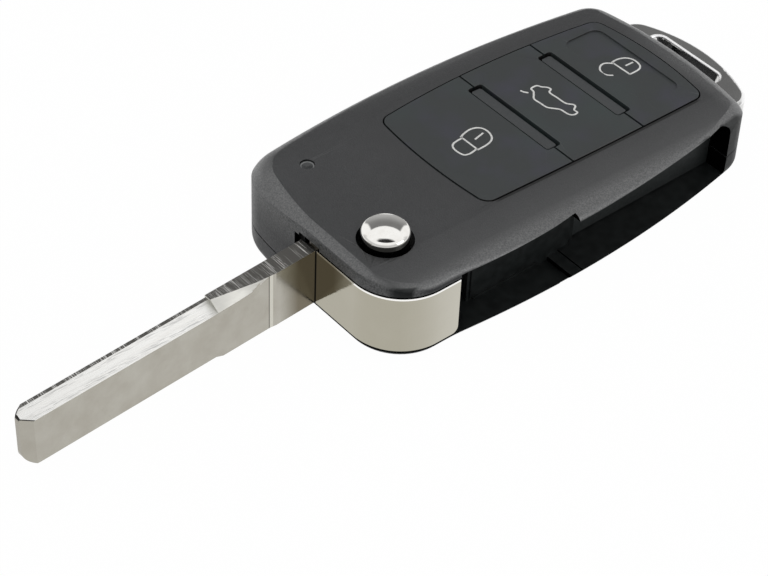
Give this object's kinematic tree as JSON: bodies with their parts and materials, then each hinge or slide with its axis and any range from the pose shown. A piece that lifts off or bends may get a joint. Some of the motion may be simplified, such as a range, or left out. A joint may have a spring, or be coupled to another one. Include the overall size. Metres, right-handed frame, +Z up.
{
  "type": "flip key remote shell",
  "caption": "Empty flip-key remote shell with fold-out uncut blade, chrome release button, keypad over a silicone mat, LED lens and ring loop.",
  "frame": {"origin": "blade's turning axis where it meets the flat base", "axes": "+Z up through the keypad face, +X from the blade end to the ring loop, -Y the side with the blade slot"},
  "size_m": [0.1221, 0.0385, 0.0159],
  "materials": {
    "black_plastic": "fine matt grain",
    "key_plastic": "smooth satin",
    "inner_plastic": "smooth",
    "silicone": "matt",
    "lens_plastic": "clear, frosted",
    "bright_chrome": "polished",
    "nickel_blade": "satin nickel",
    "plated_loop": "polished",
    "steel": "plain",
    "spring_steel": "oiled"
  },
  "bodies": {
    "housing": {"upper_shell": "black_plastic", "lower_shell": "black_plastic", "electronics_tray": "inner_plastic", "keypad_mat": "silicone", "led_lens": "lens_plastic", "key_loop": "plated_loop", "cell_clip": "spring_steel", "spring_seat": "steel", "seat_screw": "steel", "case_screw": "steel", "tray_screw_front": "steel", "tray_screw_rear": "steel", "flip_spring": "spring_steel"},
    "key": {"blade": "nickel_blade", "blade_head": "bright_chrome", "blade_pin": "steel"},
    "push": {"release_button": "bright_chrome"},
    "lock_key": {"lock_button": "key_plastic"},
    "boot_key": {"boot_button": "key_plastic"},
    "unlock_key": {"unlock_button": "key_plastic"},
    "cover": {"battery_cover": "black_plastic"}
  },
  "joints": [
    {"name": "blade_flip", "type": "hinge", "parent": "housing", "child": "key", "pos_m": [0, 0, 0.0064], "axis": [0, 0, 1], "range_deg": [0, 176.7], "stiffness_Nm_per_rad": 0.008, "springref_deg": -28.65},
    {"name": "release_press", "type": "slide", "parent": "key", "child": "push", "axis": [0, 0, -1], "range_m": [0, 0.0017], "stiffness_N_per_m": 1500, "springref_m": -0.001, "deforming": ["flip_spring"]},
    {"name": "lock_press", "type": "slide", "parent": "housing", "child": "lock_key", "axis": [-0.03, 0, -0.9996], "range_m": [0, 0.00045], "stiffness_N_per_m": 4000, "springref_m": -0.0002, "deforming": ["keypad_mat"]},
    {"name": "boot_press", "type": "slide", "parent": "housing", "child": "boot_key", "axis": [-0.03, 0, -0.9996], "range_m": [0, 0.00045], "stiffness_N_per_m": 4000, "springref_m": -0.0002, "deforming": ["keypad_mat"]},
    {"name": "unlock_press", "type": "slide", "parent": "housing", "child": "unlock_key", "axis": [-0.03, 0, -0.9996], "range_m": [0, 0.00045], "stiffness_N_per_m": 4000, "springref_m": -0.0002, "deforming": ["keypad_mat"]},
    {"name": "cover_off", "type": "slide", "parent": "housing", "child": "cover", "axis": [0, 0, -1], "range_m": [0, 0.03]}
  ]
}
